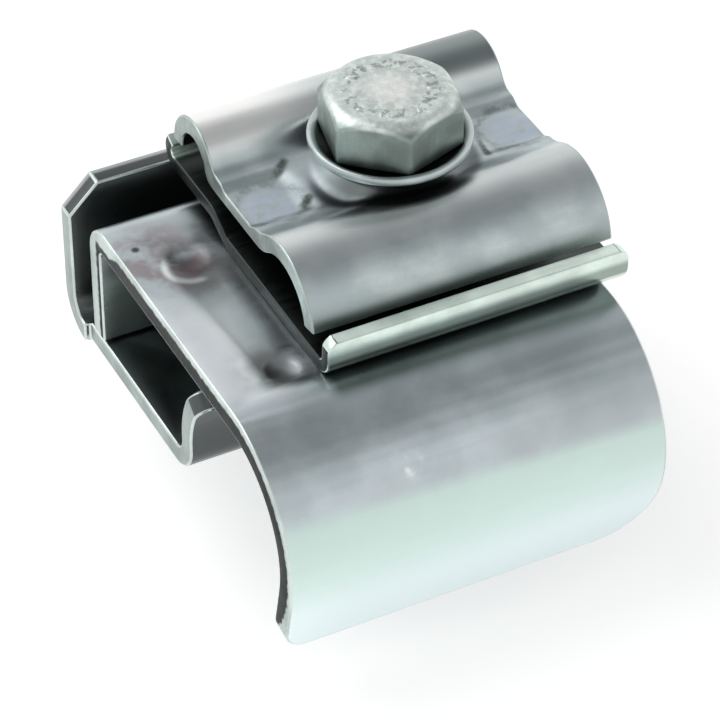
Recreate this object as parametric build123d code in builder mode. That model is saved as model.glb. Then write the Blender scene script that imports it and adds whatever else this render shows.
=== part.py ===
from build123d import *
from math import cos, radians, sin, tan
import os

# Earth rod clamp: a folded saddle hooks over a 20 mm earth rod, a bracket below it grips the back of
# the rod, and one M8 bolt draws the two together through a pair of pressed conductor cleats.
# Frame: origin on the rod's axis at the middle of the saddle, X along the rod, Y to the back, Z up.

# ---------------------------------------------------------------- driving dimensions, mm and degrees
rod_diameter = 20.0
rod_clearance = 0.1            # radial, between the rod and everything that is shaped to it
thin_conductor = 5.4           # diameter that the rear groove takes as it stands
thick_conductor = 10.0         # diameter that the front groove is pressed for
groove_clearance = 0.1         # radial, in both conductor grooves
bolt_diameter = 8.0
bolt_length = 40.0
hole_clearance = 0.5           # radial, every plain hole that the bolt passes through
thread_clearance = 0.05        # radial, between the bolt and its nut
moving_gap = 0.3               # between pieces that move apart

seat_radius = rod_diameter / 2 + rod_clearance
hole_radius = bolt_diameter / 2 + hole_clearance

# where the bolt stands; the cleats and both sheets' backs are placed from it
bolt_x = 6.1
bolt_y = 18.9

# saddle strap
strap_thickness = 2.6
strap_width = 41.2
strap_top = seat_radius + strap_thickness
strap_back = bolt_y + 14.8
lip_bottom = -1.8
lip_bend = 1.0                 # inside radius of the back bend
seat_end_angle = 192.0         # where the curl leaves the rod, counted from the back of the rod
hook_leg = 7.0                 # straight end of the hook, past the curl
left_corner = 2.6
right_corner = 6.5
press_marks = ((-14.4, 23.1, 2.5), (-13.4, 3.4, 2.0))    # x, y and radius of two shallow round dents
press_depth = 0.35

# rod bracket
bracket_thickness = 2.2
wall_width = 42.4
wall_back = strap_back + 5.8
wall_top = strap_top + 1.0
wall_corner = 3.3
wall_bend = 2.4                # inside radius between the wall and the limb
limb_width = 41.0
limb_top = lip_bottom - moving_gap
limb_bottom = limb_top - bracket_thickness
claw_top_angle = 37.0          # how far the claw climbs the back of the rod
claw_bend = 1.6                # inside radius between the limb and the claw
claw_corner = 1.8
limb_mark = (-15.2, 23.3, 2.0)

# upper cleat
upper_thickness = 2.0
thin_groove_y = bolt_y + 10.9
thin_groove_z = strap_top + 6.2
thick_groove_y = bolt_y - 9.0
thick_groove_z = strap_top + 2.3
front_edge_angle = 171.0
back_edge_angle = -3.0
valley_z = thick_groove_z + 5.3    # upper face of the flat between the two grooves
valley_fillet = 2.0
boss_radius = 7.4               # at the foot of the raised boss
boss_rise = 2.3
boss_taper = 22.0
recess_length = 7.2            # the flat pockets at both ends of the valley
recess_width = 7.0
recess_y = bolt_y + 1.0
recess_depth = 0.6

# lower cleat
cleat_length = 33.0
lower_thickness = 1.5
front_lip_y = thick_groove_y - 10.3
front_lip_height = 4.5
front_lip_bend = 0.9
ramp_start = bolt_y + 3.9
pad_front = bolt_y + 7.1
pad_rise = 1.75
back_lip_y = thin_groove_y + 8.5
back_lip_lean = 2.0
back_lip_height = 5.3
back_lip_bend = 0.5
ramp_bend = 2.2

# fasteners
head_across_flats = 13.0
head_height = 5.3
head_chamfer_angle = 30.0
head_crown = 0.95              # share of the width across flats that the turned top keeps
head_turn = 18.5               # corner direction of the tightened head
bearing_radius = 5.8           # the round face under the hexagon
bearing_height = 0.4
point_chamfer = 0.9
washer_radius = 8.3
washer_thickness = 1.6
washer_dish = 0.45
washer_bore_clearance = 0.2
washer_edge = 0.35
nut_height = 6.8
corner_radius = head_across_flats / 3 ** 0.5    # of the head and of the nut

washer_seat = valley_z + boss_rise
head_seat = washer_seat + washer_thickness


def save(piece, name):
    piece.part.label = name
    export_step(piece.part, f"parts/{name}.step")


def near(angle, radius):
    """The point at an angle and radius round the rod's axis, in the YZ plane."""
    return (radius * cos(radians(angle)), radius * sin(radians(angle)))


def press_dent(x, y, radius, surface):
    """Sinks a shallow round dent into the piece in hand, in a face that lies at that height."""
    ball = (radius ** 2 + press_depth ** 2) / (2 * press_depth)
    with Locations((x, y, surface - press_depth + ball)):
        Sphere(ball, mode=Mode.SUBTRACT)


os.makedirs("parts", exist_ok=True)

# ---------------------------------------------------------------- rod strap
# One sheet: a lip at the back, a flat plate over the rod, and a hook that follows the rod's front.
lip_inner = strap_back - strap_thickness
with BuildPart() as rod_strap:
    with BuildSketch(Plane.YZ.offset(-strap_width / 2)):
        with BuildLine():
            back_corner = (lip_inner, seat_radius)
            FilletPolyline((lip_inner, lip_bottom), back_corner, (0, seat_radius), radius=lip_bend)
            curl = CenterArc((0, 0), seat_radius, 90, seat_end_angle - 90)
            leg = Line(curl @ 1, curl @ 1 + hook_leg * (curl % 1))
            offset(amount=strap_thickness, side=Side.RIGHT)
        make_face()
    extrude(amount=strap_width)
    down_the_hook = Vector(0, (leg % 1).X, (leg % 1).Y)
    for side, corner in ((0, left_corner), (-1, right_corner)):
        hook_end = rod_strap.faces().filter_by(lambda face: face.normal_at().dot(down_the_hook) > 0.99)[0]
        fillet(hook_end.edges().filter_by(Axis.X, reverse=True).sort_by(Axis.X)[side], corner)
    with Locations((bolt_x, bolt_y, strap_top)):
        Hole(hole_radius, depth=strap_thickness)
    for x, y, radius in press_marks:
        press_dent(x, y, radius, strap_top)

save(rod_strap, "rod_strap")

# ---------------------------------------------------------------- rod bracket
# One sheet: a wall behind the lip, a limb below it, and a claw that climbs the back of the rod.
wall_inner = wall_back - bracket_thickness
claw_back = seat_radius + bracket_thickness
claw_foot = (claw_back ** 2 - limb_top ** 2) ** 0.5
with BuildPart() as rod_bracket:
    with BuildSketch(Plane.YZ.offset(-wall_width / 2)):
        with BuildLine() as fold:
            Polyline((wall_inner, wall_top), (wall_inner, limb_top), (claw_foot, limb_top))
            ThreePointArc((claw_foot, limb_top), (claw_back, 0), near(claw_top_angle, claw_back))
            fillet(fold.vertices().sort_by_distance((wall_inner, limb_top))[0], wall_bend)
            fillet(fold.vertices().sort_by_distance((claw_foot, limb_top))[0], claw_bend)
            offset(amount=bracket_thickness, side=Side.LEFT)
        make_face()
    extrude(amount=wall_width)
    top_corners = rod_bracket.edges().filter_by(Axis.Y).group_by(Axis.Z)[-1]
    chamfer(top_corners, wall_corner)
    side_trim = (wall_width - limb_width) / 2
    trimmed_depth = wall_inner - wall_bend + claw_back
    with BuildSketch(Plane.XY.offset(limb_bottom)):
        for side in (-1, 1):
            with Locations((side * (limb_width + side_trim) / 2, trimmed_depth / 2 - claw_back)):
                Rectangle(side_trim, trimmed_depth)
    extrude(amount=wall_top, mode=Mode.SUBTRACT)
    claw_y, claw_z = near(claw_top_angle, seat_radius + bracket_thickness / 2)
    claw_end = rod_bracket.faces().sort_by_distance((0, claw_y, claw_z))[0]
    fillet(claw_end.edges().filter_by(Axis.X, reverse=True), claw_corner)
    with Locations((bolt_x, bolt_y, limb_top)):
        Hole(hole_radius, depth=bracket_thickness)
    press_dent(*limb_mark, limb_top)

save(rod_bracket, "rod_bracket")

# ---------------------------------------------------------------- lower cleat
# A pressed plate: a lip along the front, a raised pad under the rear groove and a lip behind it.
pad_bottom = strap_top + pad_rise
cleat_start = bolt_x - cleat_length / 2
with BuildPart() as lower_cleat:
    with BuildSketch(Plane.YZ.offset(cleat_start)):
        front_outer = front_lip_bend + lower_thickness
        back_outer = back_lip_bend + lower_thickness
        with BuildLine():
            FilletPolyline(
                (front_lip_y, strap_top + front_lip_height),
                (front_lip_y, strap_top),
                (ramp_start, strap_top),
                (pad_front, pad_bottom),
                (back_lip_y, pad_bottom),
                (back_lip_y - back_lip_lean, strap_top + back_lip_height),
                radius=(front_outer, ramp_bend, ramp_bend, back_outer),
            )
            offset(amount=lower_thickness, side=Side.LEFT)
        make_face()
    extrude(amount=cleat_length)
    with Locations((bolt_x, bolt_y, strap_top + lower_thickness)):
        Hole(hole_radius, depth=lower_thickness)

save(lower_cleat, "lower_cleat")

# ---------------------------------------------------------------- upper cleat
# A pressed plate with two grooves along the rod and a raised boss between them for the bolt.
thin_outer = thin_conductor / 2 + groove_clearance + upper_thickness
thick_outer = thick_conductor / 2 + groove_clearance + upper_thickness
thick_foot = (thick_groove_y + (thick_outer ** 2 - (valley_z - thick_groove_z) ** 2) ** 0.5, valley_z)
thin_foot = (thin_groove_y - (thin_outer ** 2 - (valley_z - thin_groove_z) ** 2) ** 0.5, valley_z)


def on_groove(y, z, angle, radius):
    return (y + radius * cos(radians(angle)), z + radius * sin(radians(angle)))


with BuildPart() as upper_cleat:
    with BuildSketch(Plane.YZ.offset(cleat_start)):
        with BuildLine() as ridge:
            front_edge = on_groove(thick_groove_y, thick_groove_z, front_edge_angle, thick_outer)
            front_crown = (thick_groove_y, thick_groove_z + thick_outer)
            ThreePointArc(front_edge, front_crown, thick_foot)
            Line(thick_foot, thin_foot)
            back_crown = (thin_groove_y, thin_groove_z + thin_outer)
            back_edge = on_groove(thin_groove_y, thin_groove_z, back_edge_angle, thin_outer)
            ThreePointArc(thin_foot, back_crown, back_edge)
            fillet(ridge.vertices().sort_by_distance(thick_foot)[0], valley_fillet)
            fillet(ridge.vertices().sort_by_distance(thin_foot)[0], valley_fillet)
            offset(amount=upper_thickness, side=Side.RIGHT)
        make_face()
    extrude(amount=cleat_length)
    with BuildSketch(Plane.XY.offset(valley_z)):
        with Locations((bolt_x, bolt_y)):
            Circle(boss_radius)
    extrude(amount=boss_rise, taper=boss_taper)
    with BuildSketch(Plane.XY.offset(valley_z - upper_thickness)):
        with Locations((bolt_x, bolt_y)):
            Circle(boss_radius - upper_thickness)
    extrude(amount=boss_rise, taper=boss_taper, mode=Mode.SUBTRACT)
    for side in (-1, 1):
        with BuildSketch(Plane.XY.offset(valley_z - recess_depth)):
            with Locations((bolt_x + side * (cleat_length - recess_length) / 2, recess_y)):
                Rectangle(recess_length, recess_width)
        extrude(amount=recess_depth + boss_rise, mode=Mode.SUBTRACT)
    with Locations((bolt_x, bolt_y, washer_seat)):
        Hole(hole_radius, depth=upper_thickness + boss_rise)

save(upper_cleat, "upper_cleat")

# ---------------------------------------------------------------- clamp bolt
# The head is turned off at 30 degrees round its top, which leaves a round face with six scallops.
crown_radius = head_crown * head_across_flats / 2
crown_drop = (corner_radius - crown_radius) * tan(radians(head_chamfer_angle))
with BuildPart() as clamp_bolt:
    with BuildSketch(Plane.XY.offset(head_seat + bearing_height)):
        with Locations((bolt_x, bolt_y)):
            RegularPolygon(head_across_flats / 2, 6, major_radius=False, rotation=head_turn)
    extrude(amount=head_height - bearing_height)
    with BuildSketch(Plane.XZ.offset(-bolt_y)):
        with BuildLine():
            Polyline(
                (bolt_x, head_seat + bearing_height),
                (bolt_x + corner_radius, head_seat + bearing_height),
                (bolt_x + corner_radius, head_seat + head_height - crown_drop),
                (bolt_x + crown_radius, head_seat + head_height),
                (bolt_x, head_seat + head_height),
                close=True,
            )
        make_face()
    revolve(axis=Axis((bolt_x, bolt_y, 0), (0, 0, 1)), mode=Mode.INTERSECT)
    with Locations((bolt_x, bolt_y, head_seat + bearing_height)):
        hanging = (Align.CENTER, Align.CENTER, Align.MAX)
        Cylinder(bearing_radius, bearing_height, align=hanging)
        Cylinder(bolt_diameter / 2, bolt_length + bearing_height, align=hanging)
    point = clamp_bolt.edges().filter_by(GeomType.CIRCLE).group_by(Axis.Z)[0]
    chamfer(point, point_chamfer)

save(clamp_bolt, "clamp_bolt")

# ---------------------------------------------------------------- dished washer
# Its rim stands a little higher than its middle, so only the round bearing face touches it.
washer_bore = bolt_diameter / 2 + washer_bore_clearance
with BuildPart() as dished_washer:
    with BuildSketch(Plane.XZ.offset(-bolt_y)):
        with BuildLine():
            Polyline(
                (bolt_x + washer_bore, washer_seat),
                (bolt_x + bearing_radius, washer_seat),
                (bolt_x + washer_radius, washer_seat + washer_dish),
                (bolt_x + washer_radius, head_seat + washer_dish),
                (bolt_x + bearing_radius, head_seat),
                (bolt_x + washer_bore, head_seat),
                close=True,
            )
        make_face()
    revolve(axis=Axis((bolt_x, bolt_y, 0), (0, 0, 1)))
    rim = dished_washer.edges().filter_by(GeomType.CIRCLE).sort_by(SortBy.RADIUS)[-2:]
    fillet(rim, washer_edge)

save(dished_washer, "dished_washer")

# ---------------------------------------------------------------- hexagon nut
with BuildPart() as hexagon_nut:
    with BuildSketch(Plane.XY.offset(limb_bottom)):
        with Locations((bolt_x, bolt_y)):
            RegularPolygon(head_across_flats / 2, 6, major_radius=False)
            Circle(bolt_diameter / 2 + thread_clearance, mode=Mode.SUBTRACT)
    extrude(amount=-nut_height)
    with BuildSketch(Plane.XZ.offset(-bolt_y)):
        with BuildLine():
            Polyline(
                (bolt_x, limb_bottom),
                (bolt_x + corner_radius, limb_bottom),
                (bolt_x + corner_radius, limb_bottom - nut_height + crown_drop),
                (bolt_x + crown_radius, limb_bottom - nut_height),
                (bolt_x, limb_bottom - nut_height),
                close=True,
            )
        make_face()
    revolve(axis=Axis((bolt_x, bolt_y, 0), (0, 0, 1)), mode=Mode.INTERSECT)

save(hexagon_nut, "hexagon_nut")
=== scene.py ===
# %% [markdown]
# # Earth rod clamp
# A clamp that joins a bare conductor to a driven earth rod. Four pressings of satin stainless
# steel are held by one M8 bolt: a strap hooked over the rod, a bracket behind and below it, and
# two cleats that grip the conductor. The measured solids arrive as a fixed frame, in metres, and
# each step below gives one of them the edges and the finish that the real piece has.

# %% Load the frame
import math

import bmesh
import bpy
import numpy as np
from mathutils import Matrix, Vector


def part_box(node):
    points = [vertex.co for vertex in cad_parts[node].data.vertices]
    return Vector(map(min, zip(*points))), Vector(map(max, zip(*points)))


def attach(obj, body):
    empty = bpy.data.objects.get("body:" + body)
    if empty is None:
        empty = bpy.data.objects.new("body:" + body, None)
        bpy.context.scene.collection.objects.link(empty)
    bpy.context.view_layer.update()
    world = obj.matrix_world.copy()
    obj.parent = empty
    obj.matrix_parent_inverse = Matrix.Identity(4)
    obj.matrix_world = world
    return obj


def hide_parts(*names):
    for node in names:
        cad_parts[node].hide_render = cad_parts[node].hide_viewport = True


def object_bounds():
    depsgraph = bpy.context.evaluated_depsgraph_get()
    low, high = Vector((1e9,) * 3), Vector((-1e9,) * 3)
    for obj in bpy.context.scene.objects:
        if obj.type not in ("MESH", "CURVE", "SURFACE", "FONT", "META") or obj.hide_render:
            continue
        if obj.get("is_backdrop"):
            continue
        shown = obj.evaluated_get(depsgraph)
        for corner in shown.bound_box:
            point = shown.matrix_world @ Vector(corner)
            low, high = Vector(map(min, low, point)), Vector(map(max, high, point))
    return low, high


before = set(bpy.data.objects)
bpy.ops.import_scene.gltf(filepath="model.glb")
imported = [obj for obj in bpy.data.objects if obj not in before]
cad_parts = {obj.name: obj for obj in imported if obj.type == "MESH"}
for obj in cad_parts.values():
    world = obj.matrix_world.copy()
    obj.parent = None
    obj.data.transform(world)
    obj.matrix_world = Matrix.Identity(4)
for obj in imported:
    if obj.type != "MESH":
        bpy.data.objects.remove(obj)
cad_low, cad_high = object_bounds()
MM = 0.001
print("nodes:", sorted(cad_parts))

# %% [markdown]
# ## Places that the frame gives
# Nothing is measured twice. The strap's box gives the top of its plate, the washer's box gives
# the bolt's axis, and the bolt's box gives the top of its head and the end of its shank. The
# clamp stands on the end of its bolt, so the lowest point of all is where the floor goes.

# %% Read them
_, strap_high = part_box("rod_strap")
upper_low, upper_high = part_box("upper_cleat")
_, lower_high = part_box("lower_cleat")
washer_low, washer_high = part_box("dished_washer")
bolt_low, bolt_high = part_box("clamp_bolt")
bracket_low, bracket_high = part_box("rod_bracket")
bolt_axis = Vector(((washer_low.x + washer_high.x) / 2, (washer_low.y + washer_high.y) / 2, 0))
plate_top = strap_high.z
print("bolt axis:", [round(value / MM, 2) for value in bolt_axis], "mm")
print("plate top:", round(plate_top / MM, 2), "mm, lowest point:", round(cad_low.z / MM, 2), "mm")

# %% [markdown]
# ## Steel in nodes
# Rolled stainless sheet isn't one flat grey. It has cloudy patches some millimetres across, a
# very fine grain, faint streaks along the way it was rolled, small scuffs, and a tint where a
# press or a spot of heat has touched it. One function lays those down from Object coordinates, so
# that the pattern stays on the metal however the piece is turned. Each finish chooses its colours
# and may add marks of its own before the shader gets them.

# %% A short way to write nodes


class Nodes:
    """Adds one node a call, and links or sets its inputs."""

    def __init__(self, owner):
        owner.use_nodes = True
        self.tree = owner.node_tree
        self.tree.nodes.clear()

    def feed(self, node, socket, value):
        if isinstance(value, bpy.types.NodeSocket):
            self.tree.links.new(value, node.inputs[socket])
        else:
            node.inputs[socket].default_value = value

    def add(self, kind, inputs, **settings):
        node = self.tree.nodes.new(kind)
        for name, value in settings.items():
            setattr(node, name, value)
        for socket, value in inputs.items():
            self.feed(node, socket, value)
        return node

    def math(self, operation, first, second=0.0):
        return self.add("ShaderNodeMath", {0: first, 1: second}, operation=operation).outputs[0]

    def times(self, first, second):
        return self.math("MULTIPLY", first, second)

    def plus(self, first, second):
        return self.math("ADD", first, second)

    def minus(self, first, second):
        return self.math("SUBTRACT", first, second)

    def vector_math(self, operation, first, second):
        return self.add("ShaderNodeVectorMath", {0: first, 1: second}, operation=operation).outputs

    def ramp(self, value, low, high, out_low=0.0, out_high=1.0):
        sockets = {"Value": value, "From Min": low, "From Max": high,
                   "To Min": out_low, "To Max": out_high}
        node = self.add("ShaderNodeMapRange", sockets, interpolation_type="SMOOTHSTEP")
        return node.outputs["Result"]

    def fade(self, length, low, high, out_low=0.0, out_high=1.0):
        """A ramp over a length, whose two ends are given in millimetres."""
        return self.ramp(length, low * MM, high * MM, out_low, out_high)

    def noise(self, vector, size, detail=3.0, roughness=0.5):
        """Noise whose blotches are about `size` millimetres across."""
        sockets = {"Vector": vector, "Scale": 1.0 / (size * MM), "Detail": detail,
                   "Roughness": roughness}
        return self.add("ShaderNodeTexNoise", sockets).outputs["Fac"]

    def mix(self, share, first, second):
        node = self.add("ShaderNodeMix", {0: share, 6: first, 7: second}, data_type="RGBA")
        return node.outputs[2]

    def stretched(self, vector, stretch, shift=(0, 0, 0)):
        node = self.add("ShaderNodeMapping", {"Vector": vector, "Scale": stretch, "Location": shift})
        return node.outputs["Vector"]

    def axes(self, vector):
        return self.add("ShaderNodeSeparateXYZ", {"Vector": vector}).outputs

    def near(self, vector, centre, radius, softness):
        """1 inside a ball round `centre`, falling to 0 over `softness`, all in millimetres."""
        place = tuple(value * MM for value in centre)
        gap = self.vector_math("DISTANCE", vector, place)["Value"]
        return self.fade(gap, radius, radius + softness, 1.0, 0.0)

    def near_line(self, vector, start, end, radius, softness):
        """1 within `radius` of a straight stroke from `start` to `end`, falling to 0 beside it."""
        start, end = Vector(start) * MM, Vector(end) * MM
        run = end - start
        offset = self.vector_math("SUBTRACT", vector, start)[0]
        share = self.vector_math("DOT_PRODUCT", offset, run / run.length_squared)["Value"]
        share = self.add("ShaderNodeClamp", {0: share}).outputs[0]
        foot = self.add("ShaderNodeVectorMath", {0: run, "Scale": share}, operation="SCALE")
        gap = self.vector_math("DISTANCE", offset, foot.outputs[0])["Value"]
        return self.fade(gap, radius, radius + softness, 1.0, 0.0)


def rgb(red, green, blue):
    return (red, green, blue, 1.0)


# %% The steel itself


def steel(name, pale, dark, tint, rough=(0.27, 0.34), streak=(1, 9, 9), grain=0.2,
          tint_share=0.5, marks=None):
    """Satin steel: cloudy colour, a rolled streak, fine grain and a roughness that varies."""
    material = bpy.data.materials.new(name)
    nodes = Nodes(material)
    place = nodes.add("ShaderNodeTexCoord", {}).outputs["Object"]
    clouds = nodes.noise(place, 5.0, 4.0)
    patches = nodes.noise(place, 13.0, 3.0)
    streaks = nodes.noise(nodes.stretched(place, streak), 5.0, 5.0, 0.6)
    fine = nodes.noise(place, 0.3, 3.0, 0.7)
    scuffs = nodes.noise(nodes.stretched(place, (1, 5, 5), (0.3, 0.1, 0.2)), 1.6, 4.0, 0.75)
    body = nodes.mix(nodes.ramp(clouds, 0.36, 0.66), dark, pale)
    body = nodes.mix(nodes.times(nodes.ramp(patches, 0.48, 0.66), tint_share), body, tint)
    body = nodes.mix(nodes.ramp(streaks, 0.35, 0.7, 0.0, 0.22), body, dark)
    body = nodes.mix(nodes.ramp(fine, 0.4, 0.75, 0.0, 0.25), body, dark)
    body = nodes.mix(nodes.ramp(scuffs, 0.68, 0.8, 0.0, 0.5), body, pale)
    even = nodes.plus(nodes.times(clouds, 0.25), nodes.times(streaks, 0.75))
    roughness = nodes.ramp(even, 0.3, 0.7, rough[0], rough[1])
    height = nodes.plus(nodes.times(fine, 0.4), nodes.times(streaks, 0.6))
    if marks:
        body, roughness, height = marks(nodes, place, body, roughness, height)
    bump = nodes.add("ShaderNodeBump", {"Height": height, "Strength": grain, "Distance": 0.02 * MM})
    shader = nodes.add("ShaderNodeBsdfPrincipled", {
        "Base Color": body, "Roughness": roughness, "Metallic": 1.0, "Normal": bump.outputs["Normal"]})
    nodes.add("ShaderNodeOutputMaterial", {"Surface": shader.outputs["BSDF"]})
    print("material", name, "with", len(nodes.tree.nodes), "nodes")
    return material

# %% [markdown]
# ## Marks and painted light on each piece
# The strap is tinted brown round its press dents. Its curl carries a painted shade across the top
# and a painted sheen, paler, down the hook; its plate a painted highlight and painted shadow. The
# upper cleat carries painted highlights and painted shade on its two crowns, and is bluish in the
# flat pockets where a press tool held it. The lower cleat's steel is painted paler for the sheen on
# its lip. The bracket's inside, the channel behind the lip and the washer's dish carry painted
# shade. A sheared face is pale where the blade cut it and dull and dark where the rest broke away,
# so its colour follows the depth through the sheet, which the profile's own radii and heights give.

# %% Painted shade, sheen and highlight down the hook and on the plate


def hook_shade_and_sheen(nodes, axes, body):
    """Painted shade across the top of the curl and a painted sheen, paler, down the hook. Also gives
    the sheen's share at each place.
    """
    shade_and_sheen_height = nodes.plus(axes["Z"], nodes.times(axes["X"], 0.04))
    # painted shade across the top of the curl
    curl_top_shade = nodes.fade(shade_and_sheen_height, 10, 7.6, 0.0, 0.16)
    body = nodes.mix(curl_top_shade, body, rgb(0.24, 0.28, 0.31))
    # painted sheen, paler down the hook
    hook_sheen = nodes.plus(nodes.fade(shade_and_sheen_height, 6.4, 4.6, 0.0, 0.75),
                       nodes.fade(shade_and_sheen_height, 4.6, -3, 0.0, 0.23))
    pale = nodes.mix(nodes.fade(axes["Z"], 3, -6), rgb(0.6, 0.76, 0.69), rgb(0.81, 0.91, 0.92))
    return nodes.mix(hook_sheen, body, pale), hook_sheen


def plate_highlight_and_shade(nodes, axes, body):
    """A painted highlight at the plate's left end, painted shadow under the cleat's lip, and painted
    shade over the curl.
    """
    # painted highlight at the plate's left end
    along_plate = nodes.times(nodes.fade(axes["Y"], -2, 3), nodes.fade(axes["Y"], 19, 13))
    plate_highlight = nodes.times(nodes.fade(axes["X"], -12.5, -15.5, 0.0, 0.6), along_plate)
    body = nodes.mix(plate_highlight, body, rgb(0.9, 0.94, 0.96))
    # painted shadow under the cleat's lip
    lip_shadow = nodes.times(nodes.fade(axes["Y"], -3.4, -0.9, 0.0, 0.85),
                            nodes.fade(axes["X"], -11.5, -9.5))
    lip_shadow = nodes.times(lip_shadow, nodes.fade(axes["Z"], 10, 12))
    body = nodes.mix(lip_shadow, body, rgb(0.06, 0.07, 0.07))
    # painted shade over the top of the curl
    shaded = nodes.times(nodes.fade(axes["Z"], 5, 9), nodes.fade(axes["Y"], 1, -2))
    shaded = nodes.times(shaded, nodes.fade(axes["X"], 2, 15, 0.0, 0.5))
    return nodes.mix(shaded, body, rgb(0.26, 0.3, 0.31))


# %% Marks of the press dents
tinted_spots = (((-17.0, 24.5, 12.7), 3.0, 0.75), ((-13.4, 20.6, 12.7), 2.0, 0.5),
                ((-14.4, 4.2, 12.6), 1.2, 0.35))
dents = (((-14.8, 21.8, 12.4), 0.85), ((-14.6, 4.8, 12.5), 0.35))
speck_place = (-18.5, 26.6, 12.7)
shine_place = (-6.5, -9.6, 8.4)


def dent_marks(nodes, place, axes, body):
    """A brown tint round each dent, its dark middle, a painted highlight on its rim, one speck and one
    painted highlight.
    """
    ragged = nodes.noise(place, 2.5, 4.0)
    for centre, radius, strength in tinted_spots:
        spot = nodes.near(place, centre, radius, 4.5)
        tinted = nodes.times(nodes.times(spot, nodes.ramp(ragged, 0.3, 0.6)), strength)
        body = nodes.mix(tinted, body, rgb(0.27, 0.22, 0.235))
    for centre, share in dents:
        x, y, z = centre
        middle = nodes.near(place, (x + 0.4, y, z), 0.9, 1.7)
        body = nodes.mix(nodes.times(middle, share), body, rgb(0.14, 0.105, 0.115))
        # painted highlight on the left and front of each dent's rim
        rim = nodes.minus(nodes.near(place, centre, 2.4, 0.7), nodes.near(place, centre, 1.7, 0.7))
        side = nodes.plus(nodes.minus(x * MM, axes["X"]),
                          nodes.times(nodes.minus(y * MM, axes["Y"]), 0.5))
        rim = nodes.times(rim, nodes.fade(side, 0.0, 1.2, 0.0, share))
        body = nodes.mix(rim, body, rgb(0.95, 0.98, 0.99))
    speck = nodes.near(place, speck_place, 0.2, 0.4)
    body = nodes.mix(nodes.times(speck, 0.9), body, rgb(0.03, 0.05, 0.04))
    # a painted highlight on the front of the curl
    shine = nodes.times(nodes.near(place, shine_place, 0.4, 1.6), nodes.ramp(ragged, 0.5, 0.62))
    return nodes.mix(shine, body, rgb(0.95, 0.95, 0.95))


def strap_marks(nodes, place, body, roughness, height):
    axes = nodes.axes(place)
    body, hook_sheen = hook_shade_and_sheen(nodes, axes, body)
    body = plate_highlight_and_shade(nodes, axes, body)
    body = dent_marks(nodes, place, axes, body)
    return body, nodes.plus(roughness, nodes.times(hook_sheen, 0.08)), height


# %% Marks of a sheared face
seat = 10.1
strap_sheet_thickness = 2.6
lip_inner = 31.1


def sheared_marks(depth):
    """Pale over the outer part of the sheet's thickness, dark and torn over the rest."""

    def marks(nodes, place, body, roughness, height):
        ragged = nodes.times(nodes.noise(place, 0.8, 3.0), 0.25)
        share = nodes.plus(depth(nodes, place), ragged)
        torn = nodes.ramp(share, 0.78, 0.92, 1.0, 0.0)
        body = nodes.mix(torn, body, rgb(0.045, 0.05, 0.05))
        return body, nodes.plus(roughness, nodes.times(torn, 0.2)), height

    return marks


def strap_depth(nodes, place):
    """0 on the face that touches the rod and 1 on the outside, along the lip, plate and curl."""
    axes = nodes.axes(place)
    front = nodes.math("MINIMUM", axes["Y"], 0.0)
    flat = nodes.add("ShaderNodeCombineXYZ", {"X": 0.0, "Y": front, "Z": axes["Z"]})
    radius = nodes.add("ShaderNodeVectorMath", {0: flat.outputs[0]}, operation="LENGTH")
    back = nodes.minus(axes["Y"], (lip_inner - seat) * MM)
    outward = nodes.math("MAXIMUM", radius.outputs["Value"], back)
    depth = nodes.math("DIVIDE", nodes.minus(outward, seat * MM), strap_sheet_thickness * MM)
    return nodes.plus(depth, nodes.fade(axes["Y"], 26, 29, 0.0, 0.4))


# %% Painted shade on the lower cleat and the bracket


def channel_shade(nodes, place, body, roughness, height):
    """Painted shade over the channel behind the lip, and low on the lip's front."""
    axes = nodes.axes(place)
    # painted shade over the channel behind the lip
    before_back_lip = nodes.ramp(axes["Y"], lower_high.y - 1.5 * MM, lower_high.y - 2.5 * MM)
    shade_behind_lip = nodes.times(nodes.fade(axes["Y"], 1.3, 1.7), before_back_lip)
    body = nodes.mix(shade_behind_lip, body, rgb(0.05, 0.06, 0.057))
    # painted shade low on the lip's front
    front = nodes.times(nodes.fade(axes["Y"], -0.2, -0.3), nodes.fade(axes["Z"], 16.2, 15.3))
    body = nodes.mix(nodes.times(front, 0.75), body, rgb(0.2, 0.25, 0.22))
    return body, roughness, height


def bracket_shade(nodes, place, body, roughness, height):
    """Pale and satin on the outside; painted shade on the inside faces, where the bracket wraps round
    the strap.
    """
    axes = nodes.axes(place)
    # painted shade on the bracket's inside faces
    wall = nodes.ramp(axes["Y"], bracket_high.y - 0.9 * MM, bracket_high.y - 0.4 * MM)
    underside = nodes.ramp(axes["Z"], bracket_low.z + 0.9 * MM, bracket_low.z + 0.4 * MM)
    inner_shade = nodes.minus(1.0, nodes.math("MAXIMUM", wall, underside))
    return nodes.mix(inner_shade, body, rgb(0.1, 0.108, 0.108)), roughness, height


# %% Marks of the upper cleat, and painted light on its crowns
valley = upper_high.z / MM - 3.4
pocket_spots = ((-7.3, 18.6, 19.7), (20.2, 19.2, 19.6))
burrs = ((-5.0, 22.3, -3.1, 24.0, 0.06), (-4.4, 17.1, -3.6, 17.8, 0.1),
         (-10.2, 22.4, -6.0, 21.5, 0.02), (15.6, 16.0, 16.6, 21.6, 0.04))


def from_axis(nodes, place):
    """Distance from the bolt's axis."""
    flat = nodes.stretched(place, (1, 1, 0), (-bolt_axis.x, -bolt_axis.y, 0))
    return nodes.add("ShaderNodeVectorMath", {0: flat}, operation="LENGTH").outputs["Value"]


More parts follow.
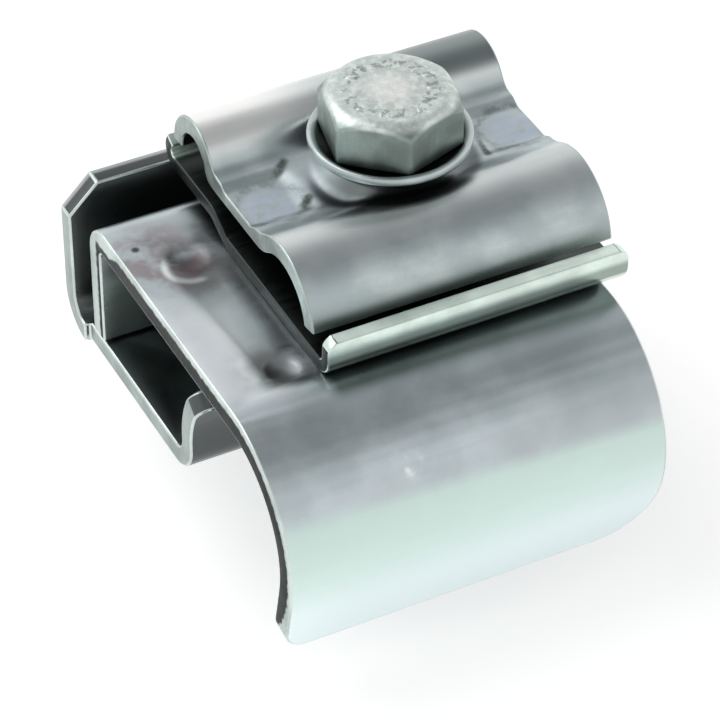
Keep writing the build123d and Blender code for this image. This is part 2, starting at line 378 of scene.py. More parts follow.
def crown_highlight_and_shade(nodes, axes, body):
    """Painted highlights up the crowns, brightest at their left ends; painted shade at their right
    ends and low in front.
    """
    # painted highlight up the crowns
    body = nodes.mix(nodes.times(nodes.fade(axes["Z"], 20.6, 22.4), 0.6), body, rgb(0.72, 0.75, 0.74))
    high = nodes.fade(axes["Z"], 21.8, 23.2)
    # painted highlight at the crowns' left ends
    left_highlight = nodes.times(high, nodes.fade(axes["X"], 6, -5, 0.0, 0.9))
    body = nodes.mix(left_highlight, body, rgb(1.0, 1.0, 0.98))
    # painted shade at the crowns' right ends
    right_shade = nodes.times(high, nodes.fade(axes["X"], 8, 15, 0.0, 0.85))
    body = nodes.mix(right_shade, body, rgb(0.2, 0.235, 0.235))
    # painted shade low on the front hump
    low = nodes.times(nodes.fade(axes["Z"], 19.2, 15.8, 0.0, 0.85), nodes.fade(axes["Y"], 9, 7))
    return nodes.mix(low, body, rgb(0.17, 0.2, 0.19))


# %% Marks in its pockets


def cleat_marks(nodes, place, body, roughness, height):
    axes = nodes.axes(place)
    body = crown_highlight_and_shade(nodes, axes, body)
    ragged = nodes.noise(place, 1.3, 4.0, 0.7)
    pits = nodes.noise(place, 0.55, 3.0, 0.7)
    for centre in pocket_spots:
        spot = nodes.times(nodes.near(place, centre, 2.0, 1.5), nodes.ramp(ragged, 0.3, 0.56))
        # a painted shadow round each pocket's edge
        rim = nodes.minus(nodes.near(place, centre, 3.6, 0.9), nodes.near(place, centre, 2.7, 0.8))
        rim = nodes.times(rim, nodes.ramp(ragged, 0.4, 0.6, 0.15, 0.6))
        body = nodes.mix(rim, body, rgb(0.16, 0.2, 0.22))
        body = nodes.mix(nodes.times(spot, 0.6), body, rgb(0.55, 0.62, 0.74))
        roughness = nodes.plus(roughness, nodes.times(spot, 0.12))
        height = nodes.plus(height, nodes.times(nodes.times(spot, pits), 2.5))
    # painted shadow round the front of the boss's foot, under the washer
    round_boss = nodes.fade(from_axis(nodes, place), 9.6, 8.6)
    in_front = nodes.ramp(axes["Y"], bolt_axis.y + 2 * MM, bolt_axis.y - 3 * MM)
    foot = nodes.times(nodes.times(round_boss, in_front), 0.75)
    body = nodes.mix(foot, body, rgb(0.05, 0.06, 0.06))
    for x0, y0, x1, y1, rise in burrs:
        ends = (x0, y0, valley), (x1, y1, valley + 0.4)
        stroke = nodes.near_line(place, *ends, 4 * rise, 0.55)
        stroke = nodes.times(stroke, nodes.ramp(ragged, 0.3, 0.6, 0.45, 0.95))
        body = nodes.mix(stroke, body, rgb(0.06, 0.07, 0.06))
    roughness = nodes.plus(roughness, nodes.fade(axes["Z"], 21.6, 20.6, 0.0, 0.08))
    return body, roughness, height


# %% Marks of the bolt's head and the washer
stroke_ring = 4.25


def head_marks(nodes, place, body, roughness, height):
    """The turned top is paler and speckled, with a painted highlight in its middle and painted shade
    round the raised strokes; the forged sides, where a spanner works, stay darker.
    """
    top = nodes.ramp(nodes.axes(place)["Z"], bolt_high.z - 0.9 * MM, bolt_high.z - 0.3 * MM)
    speckle = nodes.ramp(nodes.noise(place, 0.9, 4.0, 0.7), 0.35, 0.7, 0.55, 1.0)
    body = nodes.mix(nodes.times(top, speckle), body, rgb(0.8, 0.86, 0.83))
    radius = from_axis(nodes, place)
    # painted highlight in the middle of the top
    middle = nodes.fade(radius, 3.2, 1.2)
    body = nodes.mix(nodes.times(middle, 0.45), body, rgb(0.97, 0.95, 0.93))
    # painted shade round the raised strokes, in blotches on their ring
    ring = nodes.math("ABSOLUTE", nodes.minus(radius, stroke_ring * MM))
    ring = nodes.times(nodes.fade(ring, 0.9, 0.5), top)
    stroke_shade = nodes.ramp(nodes.noise(place, 0.75, 2.0, 0.6), 0.5, 0.6, 0.0, 0.55)
    body = nodes.mix(nodes.times(ring, stroke_shade), body, rgb(0.16, 0.2, 0.19))
    return body, nodes.plus(roughness, nodes.times(top, 0.06)), height


def washer_shade(nodes, place, body, roughness, height):
    """Bright on the rim that stands up; painted shadow in the dish under the head, and below the rim.
    """
    # painted shadow in the dish under the head and below the rim
    inside = nodes.fade(from_axis(nodes, place), 7.75, 7.3)
    below = nodes.ramp(nodes.axes(place)["Z"], washer_high.z - 0.75 * MM, washer_high.z - 1.1 * MM)
    shade = nodes.times(nodes.math("MAXIMUM", inside, below), 0.94)
    return nodes.mix(shade, body, rgb(0.03, 0.035, 0.035)), roughness, height


# %% Finishes of this clamp
sheared = {"rough": (0.35, 0.5), "streak": (1, 14, 3), "grain": 0.5}
upper_edge = steel("upper_cleat_edge", rgb(0.52, 0.6, 0.57), rgb(0.36, 0.42, 0.4),
                   rgb(0.44, 0.5, 0.48), rough=(0.26, 0.38), tint_share=0.3, grain=0.15)
burnished = steel("burnished_edge", rgb(0.68, 0.76, 0.73), rgb(0.5, 0.56, 0.54),
                  rgb(0.58, 0.66, 0.62), rough=(0.22, 0.34), tint_share=0.3, grain=0.1)
strap_steel = steel("strap_steel", rgb(0.6, 0.665, 0.69), rgb(0.49, 0.55, 0.57),
                    rgb(0.5, 0.52, 0.54), marks=strap_marks)
strap_cut = steel("strap_cut_face", rgb(0.62, 0.7, 0.67), rgb(0.42, 0.49, 0.46),
                  rgb(0.5, 0.55, 0.53), marks=sheared_marks(strap_depth), **sheared)
cut_steel = steel("cut_face", rgb(0.44, 0.51, 0.49), rgb(0.3, 0.35, 0.33), rgb(0.36, 0.41, 0.4),
                  **sheared)
# a dark copy of the cut steel for the lower cleat's cut faces: painted shade
shaded_cleat_cut = steel("shaded_cleat_cut_face", rgb(0.07, 0.08, 0.077), rgb(0.025, 0.03, 0.03),
                  rgb(0.045, 0.05, 0.05), rough=(0.4, 0.55), streak=(1, 14, 3), grain=0.5)
upper_cut = steel("upper_cleat_cut_face", rgb(0.44, 0.51, 0.48), rgb(0.24, 0.28, 0.265),
                  rgb(0.33, 0.38, 0.36), **sheared)
upper_steel = steel("upper_cleat_steel", rgb(0.56, 0.62, 0.62), rgb(0.41, 0.47, 0.48),
                    rgb(0.42, 0.475, 0.52), marks=cleat_marks)
# the lower cleat's steel is painted paler than the other pressings: a painted sheen along its lip
lower_steel = steel("lower_cleat_steel", rgb(0.8, 0.92, 0.85), rgb(0.6, 0.7, 0.64),
                    rgb(0.68, 0.78, 0.72), rough=(0.26, 0.36), marks=channel_shade)
# a dark copy of the steel for the upper cleat's inner skin: painted shade inside the channel
painted_shade_steel = steel("channel_painted_shade", rgb(0.07, 0.08, 0.078), rgb(0.03, 0.035, 0.034),
                    rgb(0.05, 0.055, 0.055), rough=(0.4, 0.55))
bracket_steel = steel("bracket_steel", rgb(0.52, 0.55, 0.56), rgb(0.42, 0.45, 0.46),
                      rgb(0.44, 0.45, 0.46), marks=bracket_shade)
bolt_steel = steel("bolt_steel", rgb(0.36, 0.43, 0.4), rgb(0.21, 0.25, 0.235), rgb(0.26, 0.31, 0.28),
                   rough=(0.34, 0.46), streak=(9, 9, 1), grain=0.5, marks=head_marks)
washer_steel = steel("washer_steel", rgb(0.56, 0.62, 0.62), rgb(0.4, 0.45, 0.45),
                     rgb(0.46, 0.5, 0.5), rough=(0.26, 0.38), streak=(4, 4, 4), marks=washer_shade)
thread_steel = steel("thread_steel", rgb(0.46, 0.49, 0.48), rgb(0.28, 0.3, 0.29),
                     rgb(0.3, 0.32, 0.3), rough=(0.28, 0.42), streak=(5, 5, 5), grain=0.25)
# %% [markdown]
# ## Finished copies of the pressings
# The solids have dead sharp edges, and light never catches those. Tumbling rounds every sheared
# edge a little, so each pressing is copied, its loose triangles are merged, and a narrow Bevel
# rounds what is sharp. The Bevel gives its new faces a material of their own, which is the
# burnished line that a handled edge shows. Subdividing would soften the whole sheet instead.

# %% Copy, round and settle


def merged_copy(node, name):
    """The node's solid as one tidied mesh, on an object at the origin."""
    form = bmesh.new()
    form.from_mesh(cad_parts[node].data)
    bmesh.ops.remove_doubles(form, verts=form.verts, dist=0.0005 * MM)
    bmesh.ops.dissolve_limit(form, angle_limit=math.radians(0.4), verts=form.verts, edges=form.edges)
    mesh = bpy.data.meshes.new(name)
    form.to_mesh(mesh)
    form.free()
    piece = bpy.data.objects.new(name, mesh)
    bpy.context.scene.collection.objects.link(piece)
    return piece


def settle(piece):
    """Turns a piece's modifiers into plain mesh, and removes them."""
    view = bpy.context.evaluated_depsgraph_get()
    made = bpy.data.meshes.new_from_object(piece.evaluated_get(view), preserve_all_data_layers=True,
                                           depsgraph=view)
    piece.modifiers.clear()
    piece.data = made
    made.name = piece.name


def round_edges(piece, width, sharp=28.0, steps=3):
    """Rounds a piece's sharp edges. The rounding gets material 1, the rest keeps material 0."""
    for _ in range(4):
        piece.data.materials.append(None)
    for polygon in piece.data.polygons:
        polygon.use_smooth = True
    bevel = piece.modifiers.new("rounding", "BEVEL")
    bevel.width = width * MM
    bevel.segments = steps
    bevel.limit_method = "ANGLE"
    bevel.angle_limit = math.radians(sharp)
    bevel.material = 1
    bevel.use_clamp_overlap = False
    bevel.miter_outer = "MITER_ARC"
    bevel.harden_normals = True
    settle(piece)


def mark_cut_faces(piece):
    """Gives the flat sheared faces at both ends of a pressing material 2."""
    for polygon in piece.data.polygons:
        if polygon.material_index == 0 and abs(polygon.normal.x) > 0.97:
            polygon.material_index = 2


def dress(piece, body, slot, *materials):
    """Gives a piece its materials and its body, and says what was made. Its slot is not used."""
    for index, material in enumerate(materials):
        if index < len(piece.data.materials):
            piece.data.materials[index] = material
        else:
            piece.data.materials.append(material)
    while len(piece.data.materials) > len(materials):
        piece.data.materials.pop(index=len(piece.data.materials) - 1)
    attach(piece, body)
    form = bmesh.new()
    form.from_mesh(piece.data)
    open_edges = sum(1 for edge in form.edges if not edge.is_manifold)
    print(piece.name, "rides on", body, "with", len(form.faces), "faces and", open_edges, "open edges")
    form.free()

# %% [markdown]
# ## The lip's full round
# The lower cleat ends in a lip whose edge the tool has rolled nearly to a full round, with its two
# corners taken off. One narrow Bevel for the whole sheet can't give that, so these few edges are
# found by their height and rounded first, by more than half of the sheet's thickness.

# %% Round a lip


def round_lip(piece, height, corner, roll):
    """Rounds the two corners and the two long edges of the lip whose top is at `height`."""
    form = bmesh.new()
    form.from_mesh(piece.data)
    for along, amount, steps in (("y", corner, 6), ("x", roll, 6)):
        edges = []
        for edge in form.edges:
            ends = [vertex.co for vertex in edge.verts]
            level = all(abs(end.z - height) < 0.01 * MM for end in ends)
            run = ends[1] - ends[0]
            straight = abs(getattr(run, along)) > 0.9 * run.length
            if level and straight and edge.calc_face_angle(0) > math.radians(40):
                edges.append(edge)
        print("lip edges along", along, len(edges))
        bmesh.ops.bevel(form, geom=edges, offset=amount * MM, offset_type="OFFSET", segments=steps,
                        profile=0.5, affect="EDGES", clamp_overlap=False)
    form.to_mesh(piece.data)
    form.free()


# %% Strap, bracket and lower cleat
lip_rise, lip_corner, lip_roll = 4.5, 1.2, 0.62
pressings = (
    ("rod_strap", "strap_sheet", "saddle", 0.22, (strap_steel, burnished, strap_cut)),
    ("rod_bracket", "bracket_sheet", "bracket", 0.22, (bracket_steel, burnished, cut_steel)),
    ("lower_cleat", "lower_cleat_sheet", "saddle", 0.16, (lower_steel, lower_steel, shaded_cleat_cut)),
)
for node, name, body, width, materials in pressings:
    sheet = merged_copy(node, name)
    if node == "lower_cleat":
        round_lip(sheet, plate_top + lip_rise * MM, lip_corner, lip_roll)
    round_edges(sheet, width)
    mark_cut_faces(sheet)
    dress(sheet, body, name, *materials)
    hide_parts(node)

# %% [markdown]
# ## The upper cleat
# This pressing is a shape with a rule. Seen from its end it is two arcs joined by a flat, drawn
# along the rod. The tool then pushed one round boss up for the bolt and a shallow pocket down at
# each end, and the steel flowed smoothly between them, where the solid has plain corners. So the
# piece is two grids of points, its outer and its inner skin: every point starts on the profile
# and is moved by the boss and the pockets, and the two skins are then joined along their borders.

# %% Profile of the cleat
sheet_thickness = 2.0
front_groove = {"y": 9.9, "z": 15.0, "inner": 5.1}
rear_groove = {"y": 29.8, "z": 18.9, "inner": 2.8}
front_edge, back_edge = 171.0, -3.0


def arc(groove, radius, start, stop, step=0.3):
    """Points round a groove's axis from one angle to another, about `step` millimetres apart."""
    count = max(2, round(abs(math.radians(stop - start)) * radius / step))
    angles = [math.radians(start + (stop - start) * i / count) for i in range(count + 1)]
    return [(groove["y"] + radius * math.cos(a), groove["z"] + radius * math.sin(a)) for a in angles]


def profile(thickness, floor, count=150, soften=0.9):
    """The cleat's end view: front arc, flat and rear arc, with the two inside corners softened."""
    front = front_groove["inner"] + thickness
    rear = rear_groove["inner"] + thickness
    front_foot = math.degrees(math.asin((floor - front_groove["z"]) / front))
    rear_foot = 180 - math.degrees(math.asin((floor - rear_groove["z"]) / rear))
    first = arc(front_groove, front, front_edge, front_foot)
    last = arc(rear_groove, rear, rear_foot, back_edge)
    points = np.array(first + last)
    run = np.concatenate([[0], np.cumsum(np.linalg.norm(np.diff(points, axis=0), axis=1))])
    fine = np.linspace(0, run[-1], 4 * count)
    line = np.stack([np.interp(fine, run, points[:, axis]) for axis in (0, 1)], axis=1)
    spread = np.exp(-0.5 * ((fine[:, None] - fine[None, :]) / soften) ** 2)
    blurred = spread @ line / spread.sum(1, keepdims=True)
    corners = (run[len(first) - 1], run[len(first)])
    share = sum(np.exp(-((fine - corner) / 2.2) ** 4) for corner in corners)
    line = line + np.clip(share, 0, 1)[:, None] * (blurred - line)
    return line[np.linspace(0, 4 * count - 1, count).round().astype(int)]


# %% Boss, pockets and burrs
boss_slope, boss_softness, boss_reach, foot_blend = 1.8, 0.3, 10.5, 1.5
pocket_depth, pocket_start, pocket_end = 0.6, 8.7, 11.3
pocket_middle, pocket_half_width, pocket_edge = 19.6, 4.1, 1.5
burr_width = 0.3


def smooth_step(value, low, high):
    share = np.clip((value - low) / (high - low), 0, 1)
    return share * share * (3 - 2 * share)


def with_pockets(x, y, height):
    """The outer skin's height once its two end pockets are pushed down and its burrs raised."""
    ends = np.abs(x - bolt_axis.x / MM) + 0.1 * np.sin(1.3 * y)
    across = smooth_step(pocket_half_width - np.abs(y - pocket_middle), 0.0, pocket_edge)
    height = height - pocket_depth * smooth_step(ends, pocket_start, pocket_end) * across
    for x0, y0, x1, y1, rise in burrs:
        along = ((x - x0) * (x1 - x0) + (y - y0) * (y1 - y0)) / ((x1 - x0) ** 2 + (y1 - y0) ** 2)
        along = np.clip(along, 0, 1)
        gap = np.hypot(x - x0 - along * (x1 - x0), y - y0 - along * (y1 - y0))
        height = height + rise * np.exp(-(gap / burr_width) ** 2)
    return height


def with_boss(x, y, z, top, rim):
    """A skin's height once the boss is pushed up to `top`, with its foot blended in."""
    radius = np.hypot(x - bolt_axis.x / MM, y - bolt_axis.y / MM)
    fall = boss_softness * np.log1p(np.exp((radius - rim) / boss_softness))
    boss = top - boss_slope * fall
    overlap = np.clip(foot_blend - np.abs(z - boss), 0, None) / foot_blend
    height = np.maximum(z, boss) + overlap ** 2 * foot_blend / 4
    return np.where(radius < boss_reach, height, z)


# %% Two skins of points
across_count = 118
hole_radius = 4.5
outer_rim, inner_rim = 6.1, 4.6
boss_top = washer_low.z / MM
outer_line = profile(sheet_thickness, valley)
inner_line = profile(0.0, valley - sheet_thickness)
across = np.linspace(upper_low.x / MM, upper_high.x / MM, across_count)
x, row = np.meshgrid(across, np.arange(len(outer_line)), indexing="ij")
y, z = outer_line[row, 0], outer_line[row, 1]
outer_skin = np.stack([x, y, with_pockets(x, y, with_boss(x, y, z, boss_top, outer_rim))], axis=2)
y, z = inner_line[row, 0], inner_line[row, 1]
inner_skin = np.stack([x, y, with_boss(x, y, z, boss_top - sheet_thickness, inner_rim)], axis=2)
rows = len(outer_line)
half = across_count * rows
vertices = [tuple(point * MM) for skin in (outer_skin, inner_skin) for point in skin.reshape(-1, 3)]
print("two skins of", across_count, "by", rows, "points")

# %% Squares outside the hole


def from_bolt(place):
    """Distance of a place from the bolt's axis, seen from above."""
    return math.hypot(place.x - bolt_axis.x, place.y - bolt_axis.y)


squares = []
for i in range(across_count - 1):
    for j in range(rows - 1):
        square = (i * rows + j, (i + 1) * rows + j, (i + 1) * rows + j + 1, i * rows + j + 1)
        middle = sum((Vector(vertices[k]) for k in square), Vector()) / 4
        if from_bolt(middle) >= hole_radius * MM:
            squares.append(square)
print(len(squares), "squares in each skin")

# %% Faces of both skins, and the rim between them
cut_face, channel_face = 2, 3
form = bmesh.new()
made = [form.verts.new(place) for place in vertices]
sides = {}
for square in squares:
    form.faces.new([made[k] for k in square])
    form.faces.new([made[k + half] for k in reversed(square)]).material_index = channel_face
    for a, b in zip(square, square[1:] + square[:1]):
        sides[(a, b)] = True
for a, b in [side for side in sides if (side[1], side[0]) not in sides]:
    rim_face = form.faces.new([made[b], made[a], made[a + half], made[b + half]])
    rim_face.material_index = cut_face
    if from_bolt((made[a].co + made[b].co) / 2) < 1.2 * hole_radius * MM:
        for k in (a, b, a + half, b + half):
            spoke = Vector((made[k].co.x - bolt_axis.x, made[k].co.y - bolt_axis.y, 0)).normalized()
            made[k].co.x = bolt_axis.x + spoke.x * hole_radius * MM
            made[k].co.y = bolt_axis.y + spoke.y * hole_radius * MM

# %% The upper cleat as a piece
loose = [vertex for vertex in form.verts if not vertex.link_faces]
bmesh.ops.delete(form, geom=loose, context="VERTS")
bmesh.ops.recalc_face_normals(form, faces=form.faces)
upper = bpy.data.objects.new("upper_cleat_sheet", bpy.data.meshes.new("upper_cleat_sheet"))
bpy.context.scene.collection.objects.link(upper)
form.to_mesh(upper.data)
form.free()
round_edges(upper, 0.2, sharp=55.0)
dress(upper, "cleat_cap", "upper_cleat_sheet", upper_steel, upper_edge, upper_cut, painted_shade_steel)
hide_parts("upper_cleat")

# %% [markdown]
# ## Bolt, washer and nut
# A forged bolt has a matt skin, a head turned off at its top so that six scallops meet a round
# face, and a rolled thread. The head is built round its axis: 240 columns of points go up its side
# and in across its top, each with the hexagon's radius for its own angle, so the scallops come by
# themselves. The washer is one section turned round the same axis. The thread is a shape with a
# rule: at every turn of the angle the groove has moved by one pitch. So Geometry Nodes make it,
# from a plain cylinder whose points are pushed in and out by that rule.
# %% A skin from rings of points


def skin_of_rings(name, rings, closed_ring=False):
    """Joins rings of points, from the first to the last. A ring of one point closes an end."""
    form = bmesh.new()
    loops = [[form.verts.new([value * MM for value in point]) for point in ring] for ring in rings]
    pairs = list(zip(loops, loops[1:] + loops[:1])) if closed_ring else list(zip(loops, loops[1:]))
    for first, second in pairs:
        for i in range(max(len(first), len(second))):
            corners = [first[i % len(first)], first[(i + 1) % len(first)],
                       second[(i + 1) % len(second)], second[i % len(second)]]
            form.faces.new(list(dict.fromkeys(corners)))
    bmesh.ops.recalc_face_normals(form, faces=form.faces)
    for face in form.faces:
        face.smooth = True
    mesh = bpy.data.meshes.new(name)
    form.to_mesh(mesh)
    form.free()
    piece = bpy.data.objects.new(name, mesh)
    bpy.context.scene.collection.objects.link(piece)
    return piece


# %% The head's outline
head_seat = washer_high.z - 0.45 * MM
seat_z, top_z = head_seat / MM, bolt_high.z / MM
axis_x, axis_y = bolt_axis.x / MM, bolt_axis.y / MM
apothem, face_disc = 6.5, 5.95
chamfer_slope, chamfer_softness = 0.8, 0.1
solid = [vertex.co - bolt_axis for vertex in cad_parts["clamp_bolt"].data.vertices]
farthest = max(solid, key=lambda point: math.hypot(point.x, point.y))
corner_angle = math.atan2(farthest.y, farthest.x)


def head_radius(angle, crisp=60):
    """A hexagon whose corners are a little rounded."""
    sides = [math.cos(angle - corner_angle - math.radians(30 + 60 * k)) for k in range(6)]
    return apothem / sum(max(0.0, side) ** crisp for side in sides) ** (1 / crisp)


def head_height(radius):
    """Flat across the middle, then down the turned chamfer."""
    fall = math.log1p(math.exp((radius - face_disc) / chamfer_softness))
    return top_z - chamfer_slope * chamfer_softness * fall


# %% The head's columns of points
around = [2 * math.pi * i / 240 for i in range(240)]
foot_round, top_round, top_edge = 0.35, 0.3, 0.36


def head_column(angle):
    """Radius and height of each point, from the bearing face up the side and in across the top."""
    full = head_radius(angle)
    edge = head_height(full)
    inner = full - top_edge
    quarter = [math.pi / 2 * k / 5 for k in range(6)]
    line = [(full - foot_round * (1 - math.sin(t)), seat_z + foot_round * (1 - math.cos(t)))
            for t in quarter]
    side = edge - seat_z - foot_round - top_round
    line += [(full, seat_z + foot_round + side * k / 4) for k in range(1, 5)]
    for t in (k / 6 for k in range(1, 7)):
        radius = (1 - t * t) * full + t * t * inner
        line.append((radius, (1 - t) ** 2 * (edge - top_round) + 2 * t * (1 - t) * edge
                     + t * t * head_height(inner)))
    return line + [(inner * (1 - k / 16), head_height(inner * (1 - k / 16))) for k in range(1, 16)]


columns = [[(axis_x + r * math.cos(angle), axis_y + r * math.sin(angle), z)
            for r, z in head_column(angle)] for angle in around]
rings = [[column[k] for column in columns] for k in range(len(columns[0]))]
head = skin_of_rings("bolt_head", [[(axis_x, axis_y, seat_z)]] + rings + [[(axis_x, axis_y, top_z)]])
dress(head, "bolt", "bolt_steel", bolt_steel)
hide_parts("clamp_bolt")

# %% The washer
base, top = washer_low.z / MM, washer_high.z / MM
rim = (washer_high.x - washer_low.x) / 2 / MM
dish, pad = seat_z - 0.15, seat_z - 0.03    # the pad stops just under the head's bearing face
section = [(4.3, base + 0.1), (4.4, base), (rim - 1.3, base), (rim - 1.1, base + 0.06),
           (rim - 0.14, top - 1.0), (rim - 0.03, top - 0.8), (rim, top - 0.6), (rim, top - 0.3),
           (rim - 0.06, top - 0.12), (rim - 0.2, top - 0.02), (rim - 0.36, top),
           (rim - 0.5, top - 0.05), (rim - 0.8, top - 0.25), (rim - 1.3, seat_z - 0.1),
           (rim - 1.8, dish), (6.2, dish), (6.0, pad), (4.5, pad), (4.3, dish)]
washer = skin_of_rings("washer_ring", [
    [(axis_x + r * math.cos(angle), axis_y + r * math.sin(angle), z) for angle in around]
    for r, z in section], closed_ring=True)
dress(washer, "cleat_cap", "washer_steel", washer_steel)
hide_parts("dished_washer")

# %% The nut
nut = merged_copy("hexagon_nut", "nut_body")
round_edges(nut, 0.2)
dress(nut, "bracket", "nut_steel", bolt_steel, bolt_steel, bolt_steel)
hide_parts("hexagon_nut")

# %% A short way to write Geometry Nodes


class Shape(Nodes):
    """A Geometry Nodes tree with named inputs, run on an object and settled into plain mesh."""

    def __init__(self, name, inputs):
        self.tree = bpy.data.node_groups.new(name, "GeometryNodeTree")
        self.tree.interface.new_socket("Geometry", in_out="OUTPUT", socket_type="NodeSocketGeometry")
        self.values = inputs
        for label, value in inputs.items():
            kind = "NodeSocketInt" if isinstance(value, int) else "NodeSocketFloat"
            self.tree.interface.new_socket(label, in_out="INPUT", socket_type=kind)
        self.given = self.tree.nodes.new("NodeGroupInput").outputs

    def finish(self, geometry, material):
        real = self.add("GeometryNodeRealizeInstances", {0: geometry})
        smooth = self.add("GeometryNodeSetShadeSmooth", {0: real.outputs[0]})
        painted = self.add("GeometryNodeSetMaterial", {0: smooth.outputs[0], "Material": material})
        self.add("NodeGroupOutput", {0: painted.outputs[0]})

    def build(self, name):
        piece = bpy.data.objects.new(name, bpy.data.meshes.new(name))
        bpy.context.scene.collection.objects.link(piece)
        modifier = piece.modifiers.new(self.tree.name, "NODES")
        modifier.node_group = self.tree
        for item in self.tree.interface.items_tree:
            if item.in_out == "INPUT" and item.name in self.values:
                modifier[item.identifier] = self.values[item.name]
        settle(piece)
        return piece


# %% The thread's inputs
pitch = 1.25 * MM
thread_top = head_seat + 0.2 * MM
thread_length = thread_top - bolt_low.z
rings_per_turn = 8
thread = Shape("rolled_thread", {
    "Length": thread_length, "Radius": 4.0 * MM, "Depth": 0.68 * MM, "Pitch": pitch,
    "Point Chamfer": 0.9 * MM, "Sides": 48, "Rings": round(thread_length / pitch * rings_per_turn)})
given = thread.given
blank = thread.add("GeometryNodeMeshCylinder", {
    "Vertices": given["Sides"], "Side Segments": given["Rings"], "Radius": given["Radius"],
    "Depth": given["Length"]})
print("thread of", round(thread_length / MM, 2), "mm at a pitch of", pitch / MM, "mm")

# %% The groove's rule
crest_end, root_start = 0.14, 0.86
spot = thread.axes(thread.add("GeometryNodeInputPosition", {}).outputs[0])
angle = thread.math("DIVIDE", thread.math("ARCTAN2", spot["Y"], spot["X"]), 2 * math.pi)
turns = thread.minus(thread.math("DIVIDE", spot["Z"], given["Pitch"]), angle)
slope = thread.math("ABSOLUTE", thread.minus(thread.times(thread.math("FRACT", turns), 2), 1))
flank = thread.add("ShaderNodeMapRange", {
    "Value": slope, "From Min": crest_end, "From Max": root_start}).outputs[0]
groove = thread.times(given["Depth"], thread.minus(1, flank))
rounded = thread.minus(given["Radius"], groove)
above_end = thread.plus(spot["Z"], thread.math("DIVIDE", given["Length"], 2))
point = thread.plus(thread.minus(given["Radius"], given["Point Chamfer"]), above_end)
share = thread.math("DIVIDE", thread.math("MINIMUM", rounded, point), given["Radius"])
place = thread.add("ShaderNodeCombineXYZ", {
    "X": thread.times(spot["X"], share), "Y": thread.times(spot["Y"], share), "Z": spot["Z"]})
grooved = thread.add("GeometryNodeSetPosition", {
    0: blank.outputs["Mesh"], "Position": place.outputs[0]})
thread.finish(grooved.outputs[0], thread_steel)
shank = thread.build("bolt_thread")
shank_middle = (bolt_axis.x, bolt_axis.y, thread_top - thread_length / 2)
shank.data.transform(Matrix.Translation(shank_middle))
dress(shank, "bolt", "bolt_steel", thread_steel)
# %% [markdown]
# ## Raised marks on the head
# Forged bolt heads carry a ring of small raised marks round their top. These are plain strokes,
# with no letters, laid on a circle by Geometry Nodes: a small rounded bar is placed on each point
# of the circle, turned to face outwards, and a fixed seed leaves some out and varies their size.

# %% The ring of strokes
strokes = Shape("ring_of_strokes", {
    "Ring Radius": stroke_ring * MM, "Count": 14, "Stroke": 0.72 * MM, "Width": 0.26 * MM,
    "Rise": 0.16 * MM, "Spread": 0.3 * MM, "Seed": 4})
given = strokes.given
sink = 0.04


def random_vector(low, high):
    """A random vector for each stroke, from the fixed seed."""
    node = strokes.add("FunctionNodeRandomValue", {"Min": low, "Max": high, "Seed": given["Seed"]},
                       data_type="FLOAT_VECTOR")
    return node.outputs["Value"]


ring = strokes.add("GeometryNodeMeshCircle", {
    "Vertices": given["Count"], "Radius": given["Ring Radius"]})
outward = strokes.add("GeometryNodeInputPosition", {}).outputs[0]
facing = strokes.add("FunctionNodeAlignRotationToVector", {"Vector": outward}, axis="X")
chosen = strokes.add("FunctionNodeRandomValue", {"Probability": 0.82, "Seed": given["Seed"]},
                     data_type="BOOLEAN")
sized = random_vector((0.7, 0.8, 1.0), (1.15, 1.5, 1.0))
spun = strokes.add("FunctionNodeEulerToRotation", {
    0: random_vector((0.0, 0.0, -0.7), (0.0, 0.0, 0.7))})
turned = strokes.add("FunctionNodeRotateRotation", {0: facing.outputs[0], 1: spun.outputs[0]})
drift = strokes.add("ShaderNodeVectorMath", {
    0: random_vector((-1.0, -1.0, 0.0), (1.0, 1.0, 0.0)), "Scale": given["Spread"]},
    operation="SCALE")
spread = strokes.add("GeometryNodeSetPosition", {
    0: ring.outputs["Mesh"], "Offset": drift.outputs[0]})

# %% One rounded bar on each point
bead = strokes.add("GeometryNodeMeshIcoSphere", {"Radius": 1.0, "Subdivisions": 3})
bar_size = strokes.add("ShaderNodeCombineXYZ", {
    "X": given["Stroke"], "Y": given["Width"], "Z": given["Rise"]})
bar = strokes.add("GeometryNodeTransform", {0: bead.outputs["Mesh"], "Scale": bar_size.outputs[0]})
laid = strokes.add("GeometryNodeInstanceOnPoints", {
    "Points": spread.outputs[0], "Instance": bar.outputs[0], "Selection": chosen.outputs["Value"],
    "Rotation": turned.outputs[0], "Scale": sized})
strokes.finish(laid.outputs[0], bolt_steel)
raised = strokes.build("head_strokes")
raised.data.transform(Matrix.Translation((bolt_axis.x, bolt_axis.y, bolt_high.z - sink * MM)))
dress(raised, "bolt", "bolt_steel", bolt_steel)
# %% [markdown]
# ## Floor, light and camera
# The clamp stands on a plain pale floor. The floor and the world answer camera and glossy rays
# with near white, so that bright metal has something pale to reflect, and give other rays a plain
# level, which keeps the shadow. Overhead the room is darker, which is what draws the grey bands
# along the humps and the top of the curl.

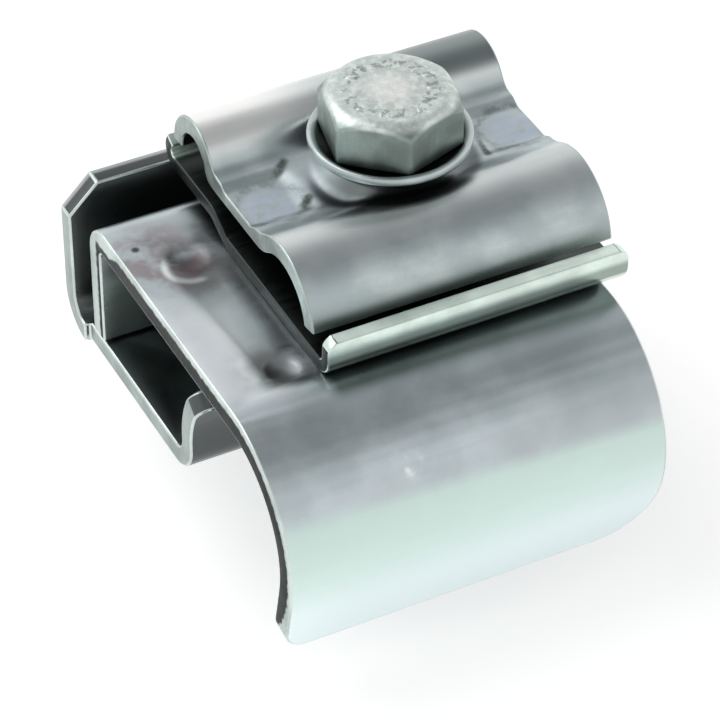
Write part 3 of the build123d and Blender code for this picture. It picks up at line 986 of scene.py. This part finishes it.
# %% Floor
reach = 3.0
floor_mesh = bpy.data.meshes.new("floor")
floor_corners = [(reach * x, reach * y, cad_low.z) for x, y in ((-1, -1), (1, -1), (1, 1), (-1, 1))]
floor_mesh.from_pydata(floor_corners, [], [(0, 1, 2, 3)])
floor = bpy.data.objects.new("floor", floor_mesh)
bpy.context.scene.collection.objects.link(floor)
floor_paint = bpy.data.materials.new("floor_paint")
nodes = Nodes(floor_paint)
ray = nodes.add("ShaderNodeLightPath", {}).outputs
seen = nodes.math("MAXIMUM", ray["Is Camera Ray"], ray["Is Glossy Ray"])
paper = nodes.add("ShaderNodeBsdfDiffuse", {"Color": rgb(0.82, 0.82, 0.82)})
glow = nodes.add("ShaderNodeEmission", {"Color": rgb(1, 1, 1), "Strength": 0.5})
lit = nodes.add("ShaderNodeAddShader", {0: paper.outputs[0], 1: glow.outputs[0]})
pick = nodes.add("ShaderNodeMixShader", {0: seen, 1: paper.outputs[0], 2: lit.outputs[0]})
under = nodes.add("ShaderNodeNewGeometry", {}).outputs["Backfacing"]
clear = nodes.add("ShaderNodeBsdfTransparent", {})
sided = nodes.add("ShaderNodeMixShader", {0: under, 1: pick.outputs[0], 2: clear.outputs[0]})
nodes.add("ShaderNodeOutputMaterial", {"Surface": sided.outputs[0]})
floor_mesh.materials.append(floor_paint)
floor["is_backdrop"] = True

# %% World
world = bpy.data.worlds.new("studio")
bpy.context.scene.world = world
nodes = Nodes(world)
ray = nodes.add("ShaderNodeLightPath", {}).outputs
direction = nodes.add("ShaderNodeTexCoord", {}).outputs["Generated"]
height = nodes.axes(direction)["Z"]
room = nodes.mix(nodes.ramp(height, 0.55, 0.95), rgb(1.0, 1.0, 1.0), rgb(0.32, 0.33, 0.34))
plain = nodes.mix(ray["Is Glossy Ray"], rgb(0.55, 0.55, 0.55), room)
shown = nodes.mix(ray["Is Camera Ray"], plain, rgb(1, 1, 1))
background = nodes.add("ShaderNodeBackground", {"Color": shown, "Strength": 1.0})
nodes.add("ShaderNodeOutputWorld", {"Surface": background.outputs[0]})

# %% Lamps


def soft_lamp(name, place, aim, size, power):
    lamp = bpy.data.lights.new(name, "AREA")
    lamp.shape = "DISK"
    lamp.size = size
    lamp.energy = power
    holder = bpy.data.objects.new(name, lamp)
    holder.location = place
    holder.rotation_mode = "QUATERNION"
    holder.rotation_quaternion = (Vector(aim) - Vector(place)).to_track_quat("-Z", "Y")
    bpy.context.scene.collection.objects.link(holder)


centre = (cad_low + cad_high) / 2
soft_lamp("key", centre + Vector((-0.5, 0.5, 0.9)), centre, 1.0, 4.0)

# %% Camera
camera_data = bpy.data.cameras.new("camera")
camera = bpy.data.objects.new("camera", camera_data)
bpy.context.scene.collection.objects.link(camera)
camera_place = Vector((-128.64, -239.93, 240.76)) * MM
right = Vector((0.89167, -0.45268, 0.0))
down = Vector((-0.2918, -0.57477, -0.76452))
forward = Vector((0.34608, 0.6817, -0.6446))
turn = Matrix((right, -down, -forward)).transposed()
camera.matrix_world = Matrix.Translation(camera_place) @ turn.to_4x4()
camera_data.sensor_width = 36.0
camera_data.lens = 183.6
camera_data.clip_start = 0.01
bpy.context.scene.camera = camera
bpy.context.scene.view_settings.view_transform = "Standard"

# %% Sizes and the last checks
visual_low, visual_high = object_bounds()
grown = [round((a - b) / MM, 3) for a, b in zip(visual_high - visual_low, cad_high - cad_low)]
print("grown by (mm):", grown)
